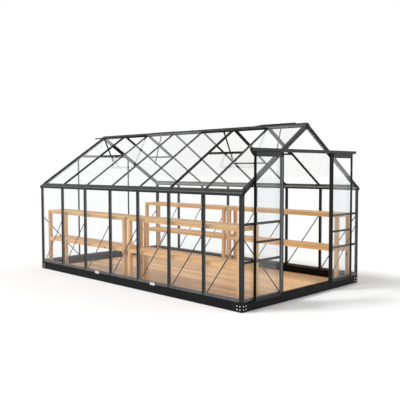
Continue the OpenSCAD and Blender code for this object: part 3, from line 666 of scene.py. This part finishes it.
def base_screws():
    """Four screws beside each corner of the base, on both of its faces."""
    lo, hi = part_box("base_front")[0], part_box("base_back")[1]
    heights, from_corner = (0.030, 0.068), (0.028, 0.072)
    bm = bmesh.new()
    for z in heights:
        for d in from_corner:
            for sx, x in ((-1, lo.x), (1, hi.x)):
                for sy, y in ((-1, lo.y), (1, hi.y)):
                    add_screw(bm, (x, y - sy * d, z), (sx, 0, 0), r=0.0075, h=0.0035)
                    add_screw(bm, (x - sx * d, y, z), (0, sy, 0), r=0.0075, h=0.0035)
    finish_piece("base_screws", bm, ROOT, (ZINC,))


base_screws()


def splice_plates():
    """Pale plates over the joints of the long base channels, each with two screws."""
    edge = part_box("base_right")[1]
    joints, screws_at = (-0.62, 0.62), (-0.030, 0.030)
    below, above, half, thick = 0.015, 0.025, 0.0475, 0.0015
    plates, screws = bmesh.new(), bmesh.new()
    for sx in (-1, 1):
        xs = sorted((sx * edge.x, sx * (edge.x + thick)))
        for y in joints:
            add_block(plates, (xs[0], y - half, edge.z - below), (xs[1], y + half, edge.z + above),
                      0.0006)
            for d in screws_at:
                add_screw(screws, (sx * (edge.x + thick), y + d, edge.z - 0.007), (sx, 0, 0),
                          r=0.005, h=0.0025)
    finish_piece("base_splice_plates", plates, ROOT, (PLATE,))
    finish_piece("base_splice_screws", screws, ROOT, (ZINC,))


splice_plates()


def eave_caps():
    """Moulded plugs, each with a screw, in the ends of both eave beams."""
    screw_in, screw_up, screw_h = 0.024, 0.016, 0.0018
    bm, screws = bmesh.new(), bmesh.new()
    for node, sx in (("left_eave_beam", -1), ("right_eave_beam", 1)):
        src = cad_copy(node)
        lo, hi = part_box(node)
        x = hi.x - screw_in if sx > 0 else lo.x + screw_in
        for f in [f for f in src.faces if abs(f.normal.y) > 0.99]:
            sy = 1 if f.normal.y > 0 else -1
            outer = [bm.verts.new(v.co) for v in f.verts]
            inner = [bm.verts.new(v.co - Vector((0, sy * PLUG_T, 0))) for v in f.verts]
            bm.faces.new(outer)
            bm.faces.new(list(reversed(inner)))
            for i in range(len(outer)):
                j = (i + 1) % len(outer)
                bm.faces.new((outer[j], outer[i], inner[i], inner[j]))
            end = f.verts[0].co.y - sy * screw_h
            add_screw(screws, (x, end, lo.z + screw_up), (0, sy, 0), r=0.0045, h=screw_h)
        src.free()
    bmesh.ops.recalc_face_normals(bm, faces=bm.faces)
    round_edges(bm, 0.0008)
    finish_piece("eave_end_plugs", bm, ROOT, (PLASTIC,))
    finish_piece("eave_end_screws", screws, ROOT, (ZINC,))


eave_caps()


def seal_rings(node, body):
    """Rubber beads round both faces of each clear sheet, just past the lip that holds it."""
    hidden, width, height = 0.0066, 0.0036, 0.0014
    src = cad_copy(node)
    bm = bmesh.new()
    for group in islands(src):
        faces = dict.fromkeys(f for v in group for f in v.link_faces)
        for f in sorted(faces, key=lambda f: -f.calc_area())[:2]:
            g = bm.faces.new([bm.verts.new(v.co) for v in f.verts])
            g.normal_update()
            away = g.normal.copy()
            ring = bmesh.ops.inset_individual(bm, faces=[g], thickness=hidden)["faces"]
            bmesh.ops.delete(bm, geom=ring, context="FACES")
            ring = bmesh.ops.inset_individual(bm, faces=[g], thickness=width)["faces"]
            bmesh.ops.delete(bm, geom=[g], context="FACES")
            made = bmesh.ops.extrude_face_region(bm, geom=ring)["geom"]
            raised = [v for v in made if isinstance(v, bmesh.types.BMVert)]
            bmesh.ops.translate(bm, vec=away * height, verts=raised)
            bmesh.ops.delete(bm, geom=[v for v in bm.verts if not v.link_faces], context="VERTS")
    src.free()
    finish_piece(node + "_seals", bm, body, (RUBBER,), sharp=30.0)


for node, body in SHEETS.items():
    seal_rings(node, body)


def add_bolt(bm, pos, normal):
    """A hexagon head on a washer."""
    r, h, washer = 0.0065, 0.0052, 0.0012
    lathe(bm, pos, normal, [(0, h), (0.55 * r, h), (0.86 * r, 0.0045), (0.86 * r, washer),
                            (1.25 * r, washer), (1.25 * r, 0.0), (0, 0.0)], seg=18, hexed=(2, 3))


def frame_bolts():
    """Bolts at both ends of each plain strap, and at the head and foot of each wall post."""
    from_end, above_foot, below_head = 0.010, 0.040, 0.014
    bm = bmesh.new()
    src = cad_copy("wall_braces")
    for group in islands(src):
        if len(group) != 8:             # a strap in one with its stand-off
            continue
        lo, hi = box_of(group)
        flat = min(range(3), key=lambda i: hi[i] - lo[i])
        low = sorted(group, key=lambda v: v.co.z)
        ends = [sum((v.co for v in part), Vector()) / 4 for part in (low[:4], low[4:])]
        run = (ends[1] - ends[0]).normalized()
        for end, way in ((ends[0], 1), (ends[1], -1)):
            at = end + run * way * from_end
            inward = Vector((0, 0, 0))
            inward[flat] = -1 if lo[flat] > 0 else 1
            at[flat] = hi[flat] if inward[flat] > 0 else lo[flat]
            add_bolt(bm, at, inward)
    src.free()
    for node, sx in (("left_posts", 1), ("right_posts", -1)):
        for lo, hi in node_boxes(node):
            x = hi.x if sx > 0 else lo.x
            for z in (lo.z + above_foot, hi.z - below_head):
                add_bolt(bm, (x, (lo.y + hi.y) / 2, z), (sx, 0, 0))
    finish_piece("frame_bolts", bm, ROOT, (BLACK_ZINC,))


frame_bolts()


def bench_screws(side):
    """Two screws at each end of every shelf board, but none where a leg passes through."""
    from_end, from_edge, leg_reach, sunk = 0.026, 0.018, 0.052, 0.0002
    head = [(0, 0.0003), (0.0012, 0.0003), (0.0016, 0.0008), (0.0038, 0.0008), (0.0040, 0.0)]
    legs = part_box(side + "_bench_legs")
    bm = bmesh.new()
    for lo, hi in node_boxes(side + "_bench_boards"):
        lower_shelf = hi.z < 0.7
        for y in (lo.y + from_end, hi.y - from_end):
            for x in (lo.x + from_edge, hi.x - from_edge):
                if not (lower_shelf and min(abs(x - leg.x) for leg in legs) < leg_reach):
                    lathe(bm, (x, y, hi.z - sunk), (0, 0, 1), head, seg=12)
    finish_piece(side + "_staging_screws", bm, ROOT, (ZINC,))


bench_screws("left")
bench_screws("right")


def rafter_strips():
    """Black capping strips on the left slope's rafters on the far side of its vents."""
    half, thick, short = 0.019, 0.005, 0.001
    along, out = SLOPES["left"]
    src, rafters = rafters_of("left")
    bm = bmesh.new()
    for _, far in VENT_RAFTERS:
        g = rafters[far]
        lo, hi = box_of(g)
        start = min(g, key=lambda v: v.co.dot(along) * 1000 - v.co.dot(out)).co
        end = max(g, key=lambda v: v.co.dot(along) * 1000 + v.co.dot(out)).co
        base = Vector((start.x, (lo.y + hi.y) / 2, start.z))
        base += out * (max(v.co.dot(out) for v in g) - base.dot(out))
        add_block(bm, (short, -half, 0.0), ((end - start).dot(along) - short, half, thick), 0.0012,
                  place=on_slope("left", base))
    src.free()
    finish_piece("rafter_cap_strips", bm, ROOT, (PLASTIC,))


rafter_strips()


def vent_kerbs():
    """Black seals down both sides of the right vents' openings, and along the left ones' cills."""
    width, low, high = 0.024, -0.024, -0.0005
    bm = bmesh.new()
    for side, sx in (("left", -1), ("right", 1)):
        along, out = SLOPES[side]
        src, rafters = rafters_of(side)
        cross = cad_copy("roof_cross_bars")
        bars = [g for g in islands(cross) if g[0].co.x * sx > 0]
        for near, far in VENT_RAFTERS:
            y0, y1 = box_of(rafters[near])[1].y, box_of(rafters[far])[0].y
            cill = next(g for g in bars if abs(box_of(g)[0].y + box_of(g)[1].y - y0 - y1) < 0.01)
            foot = max(v.co.dot(along) for v in cill)
            head = max(v.co.dot(along) for v in rafters[near])
            level = max(v.co.dot(out) for v in rafters[near])
            place = on_slope(side, along * foot + out * level + Vector((0, (y0 + y1) / 2, 0)))
            half = (y1 - y0) / 2
            if side == "left":
                add_block(bm, (0.0002, -half + 0.0004, low), (0.006, half - 0.0004, high), 0.001,
                          place=place)
                continue
            for a, b in ((-half + 0.0002, -half + width), (half - width, half - 0.0002)):
                add_block(bm, (0.0004, a, low), (head - foot - 0.0004, b, high), 0.001, place=place)
        src.free()
        cross.free()
    finish_piece("vent_kerbs", bm, ROOT, (PLASTIC,))


vent_kerbs()


def track_end():
    """A black gusset plate under the left end of the door track, clear of the open door."""
    lo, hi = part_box("door_track")
    end, stop = lo.x + 0.0005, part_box("left_door_frame")[0].x - 0.006
    top = lo.z + 0.0065
    tip, foot = top - 0.014, top - 0.058
    bm = bmesh.new()
    add_prism(bm, [(end, top), (stop, top), (stop, foot), (end + 0.004, tip)],
              lo.y + 0.003, hi.y - 0.003)
    round_edges(bm, 0.001)
    finish_piece("track_end_gusset", bm, ROOT, (PLASTIC,))


track_end()


def door_trim(door):
    """Corner covers, a pull or a seal up the meeting stile, and the left door's beads in a painted
    light.
    """
    lo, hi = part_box(door + "_frame")
    bm = bmesh.new()
    for at_low_x, x0 in ((True, lo.x), (False, hi.x - STILE_IN)):
        width = STILE_IN if at_low_x == (door == RIGHT) else STILE_OUT
        for z0, height in ((lo.z, RAIL_FOOT), (hi.z - RAIL_HEAD, RAIL_HEAD)):
            add_block(bm, (x0 + 0.001, lo.y - 0.0018, z0 + 0.001),
                      (x0 + width - 0.001, lo.y + 0.001, z0 + height - 0.001), 0.0008)
    if door == RIGHT:
        x0, x1 = lo.x + 0.0005, lo.x + 0.030
    else:
        x0, x1 = hi.x - 0.010, hi.x - 0.0005
    add_block(bm, (x0, lo.y - 0.0030, lo.z + 0.002),
              (x1, lo.y + 0.002, hi.z - RAIL_HEAD - 0.001), 0.0014)
    if door == LEFT:
        x1 = hi.x - STILE_IN - 0.0002
        for pane_lo, pane_hi in node_boxes(door + "_panes"):
            # The beads take the lighter coat, a painted light.
            add_block(bm, (x1 - 0.015, lo.y + 0.0045, pane_lo.z + PANE_IN + 0.0005),
                      (x1, lo.y + 0.010, pane_hi.z - PANE_IN - 0.0005), 0.0012, material=1)
    finish_piece(door + "_trim", bm, body=door, mats=(RUBBER, PALE_LIT))


door_trim(LEFT)
door_trim(RIGHT)


# --- Stage: floor, light, camera ---

def stage():
    """A wide pale floor, a white surround, and two broad lamps."""
    s = Shader("studio_floor")
    pos = s.add("TexCoord", out="Object")
    tone = s.ramp(s.noise(pos, 0.6, 2.0), [(0.3, 0.955), (0.7, 0.965)])
    s.finish(s.add("BsdfDiffuse", {"Color": tone}))
    bm = bmesh.new()
    bmesh.ops.create_grid(bm, x_segments=8, y_segments=8, size=90.0)
    me = bpy.data.meshes.new("studio_floor")
    bm.to_mesh(me)
    bm.free()
    me.materials.append(s.mat)
    ob = bpy.data.objects.new("studio_floor", me)
    ob.location.z = -0.001
    SCENE.collection.objects.link(ob)

    # White where the camera, a reflection or a clear sheet sees it, and dimmer as a light.
    world = bpy.data.worlds.new("studio")
    SCENE.world = world
    world.use_nodes = True
    nt = world.node_tree
    nt.nodes.clear()
    out = nt.nodes.new("ShaderNodeOutputWorld")
    path = nt.nodes.new("ShaderNodeLightPath")
    seen = nt.nodes.new("ShaderNodeBackground")
    seen.inputs["Strength"].default_value = 1.0
    light = nt.nodes.new("ShaderNodeBackground")
    light.inputs["Strength"].default_value = 0.60
    seen.inputs["Color"].default_value = light.inputs["Color"].default_value = (1, 1, 1, 1)
    a = nt.nodes.new("ShaderNodeMath")
    b = nt.nodes.new("ShaderNodeMath")
    a.operation = b.operation = "MAXIMUM"
    mix = nt.nodes.new("ShaderNodeMixShader")
    nt.links.new(path.outputs["Is Camera Ray"], a.inputs[0])
    nt.links.new(path.outputs["Is Glossy Ray"], a.inputs[1])
    nt.links.new(a.outputs[0], b.inputs[0])
    nt.links.new(path.outputs["Is Transmission Ray"], b.inputs[1])
    nt.links.new(b.outputs[0], mix.inputs[0])
    nt.links.new(light.outputs[0], mix.inputs[1])
    nt.links.new(seen.outputs[0], mix.inputs[2])
    nt.links.new(mix.outputs[0], out.inputs["Surface"])

    for name, energy, spread, way in (("key", 1.8, 14, (0.52, -0.36, -0.78)),
                                      ("fill", 0.9, 50, (-0.62, 0.74, -0.26))):
        lamp = bpy.data.objects.new(name, bpy.data.lights.new(name, "SUN"))
        lamp.data.energy = energy
        lamp.data.angle = math.radians(spread)
        lamp.rotation_euler = Vector(way).to_track_quat("-Z", "Y").to_euler()
        SCENE.collection.objects.link(lamp)


def camera():
    """The photograph's view, solved for from the house's straight edges."""
    place = (-6.2113, -6.4497, 1.6244)
    azimuth, tilt, roll = -0.786379882, 0.0530742554, -0.00175360011
    focal_px, image_px, sensor_mm = 586.186866, 400, 36.0
    cam = bpy.data.cameras.new("camera")
    cam.sensor_width = sensor_mm
    cam.lens = sensor_mm * (focal_px / image_px)
    level = math.cos(tilt)
    back = Vector((math.sin(azimuth) * level, -math.cos(azimuth) * level, math.sin(tilt)))
    right = (-back).cross(Vector((0, 0, 1))).normalized()
    up = right.cross(-back)
    turned = math.cos(roll) * right + math.sin(roll) * up
    up = math.cos(roll) * up - math.sin(roll) * right
    ob = bpy.data.objects.new("camera", cam)
    m = Matrix((turned, up, back)).transposed().to_4x4()
    m.translation = Vector(place)
    ob.matrix_world = m
    SCENE.collection.objects.link(ob)
    SCENE.camera = ob


stage()
camera()
SCENE.view_settings.view_transform = "Standard"
SCENE.cycles.transparent_max_bounces = 32
